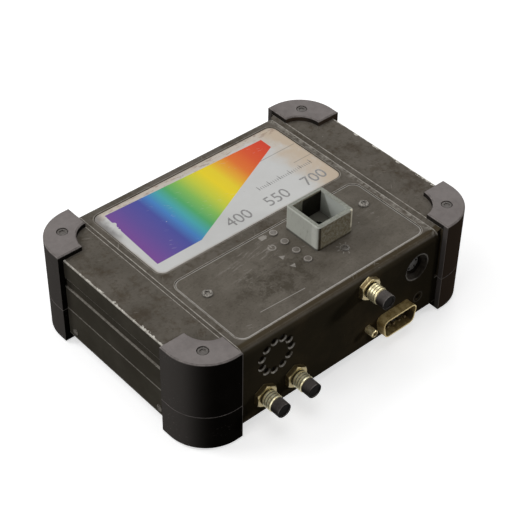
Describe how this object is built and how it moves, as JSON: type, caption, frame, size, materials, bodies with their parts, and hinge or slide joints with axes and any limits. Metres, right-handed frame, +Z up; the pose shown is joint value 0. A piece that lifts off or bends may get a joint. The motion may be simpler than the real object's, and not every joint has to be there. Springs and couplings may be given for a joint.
{
  "type": "spectrometer",
  "caption": "Bench-top spectrometer: flat casing with rubber corners, square cuvette holder on top, keys, fibre ports and sockets on the front.",
  "frame": {"origin": "middle of the outline's underside, at table level, with the dust caps fitted", "axes": "+X along the length, to the right seen from the connectors; +Y from the connector face to the back; +Z up"},
  "size_m": [0.13, 0.1018, 0.0469],
  "materials": {
    "case_paint": "worn satin paint",
    "cover_paint": "worn satin paint",
    "label": "stained print",
    "overlay": "worn film",
    "bumper_rubber": "scuffed",
    "dark_steel": "blackened",
    "screw_steel": "dull",
    "switch_plastic": "matt",
    "board": "satin",
    "chip": "matt",
    "lens": "satin",
    "holder_plastic": "dusty",
    "glass": "clear",
    "mirror": "polished",
    "brass": "tarnished",
    "insert": "matt",
    "contact": "plated",
    "battery_wrap": "shrink film",
    "bench": "black anodised",
    "lamp": "clear",
    "button_plastic": "worn",
    "cap_rubber": "scuffed"
  },
  "bodies": {
    "casing": {"base_tray": "case_paint", "battery_pack": "battery_wrap", "bench_lid": "bench", "bench_screws": "screw_steel", "board_chips": "chip", "board_screws": "screw_steel", "bumper_lower_front_left": "bumper_rubber", "bumper_lower_front_right": "bumper_rubber", "bumper_lower_rear_left": "bumper_rubber", "bumper_lower_rear_right": "bumper_rubber", "bumper_screws": "dark_steel", "bumper_upper_front_left": "bumper_rubber", "bumper_upper_front_right": "bumper_rubber", "bumper_upper_rear_left": "bumper_rubber", "bumper_upper_rear_right": "bumper_rubber", "collimating_mirror": "mirror", "cuvette_holder": "holder_plastic", "detector_array": "chip", "detector_board": "board", "dsub_contacts": "contact", "dsub_flange": "brass", "dsub_insert": "insert", "dsub_jackscrew": "brass", "dsub_shell": "brass", "entrance_slit": "dark_steel", "fibre_nuts": "brass", "fibre_port_centre": "brass", "fibre_port_left": "brass", "fibre_port_right": "brass", "focusing_mirror": "mirror", "fold_mirror": "mirror", "grating": "mirror", "indicator_board": "board", "indicator_lens": "lens", "key_board": "board", "key_switches": "switch_plastic", "keypad_overlay": "overlay", "label_plate": "label", "lamp_capsule": "lamp", "lamp_housing": "bench", "main_board": "board", "optical_bench": "bench", "panel_screws": "screw_steel", "round_socket_contacts": "contact", "round_socket_insert": "insert", "round_socket_shell": "dark_steel", "side_frame_left": "case_paint", "side_frame_right": "case_paint", "side_screws": "dark_steel", "slit_tube": "bench", "sounder": "switch_plastic", "top_cover": "cover_paint", "well_window": "glass"},
    "button_battery": {"button_battery": "button_plastic"},
    "button_down": {"button_down": "button_plastic"},
    "button_power": {"button_power": "button_plastic"},
    "button_start": {"button_start": "button_plastic"},
    "dust_cap_centre": {"dust_cap_centre": "cap_rubber"},
    "dust_cap_left": {"dust_cap_left": "cap_rubber"},
    "dust_cap_right": {"dust_cap_right": "cap_rubber"}
  },
  "joints": [
    {"name": "press_battery", "type": "slide", "parent": "casing", "child": "button_battery", "axis": [0, 0, -1], "range_m": [0, 0.0005], "stiffness_N_per_m": 400},
    {"name": "press_down", "type": "slide", "parent": "casing", "child": "button_down", "axis": [0, 0, -1], "range_m": [0, 0.0005], "stiffness_N_per_m": 400},
    {"name": "press_power", "type": "slide", "parent": "casing", "child": "button_power", "axis": [0, 0, -1], "range_m": [0, 0.0005], "stiffness_N_per_m": 400},
    {"name": "press_start", "type": "slide", "parent": "casing", "child": "button_start", "axis": [0, 0, -1], "range_m": [0, 0.0005], "stiffness_N_per_m": 400},
    {"name": "pull_cap_centre", "type": "slide", "parent": "casing", "child": "dust_cap_centre", "axis": [0, -1, 0], "range_m": [0, 0.012]},
    {"name": "pull_cap_left", "type": "slide", "parent": "casing", "child": "dust_cap_left", "axis": [0, -1, 0], "range_m": [0, 0.012]},
    {"name": "pull_cap_right", "type": "slide", "parent": "casing", "child": "dust_cap_right", "axis": [0, -1, 0], "range_m": [0, 0.012]}
  ]
}
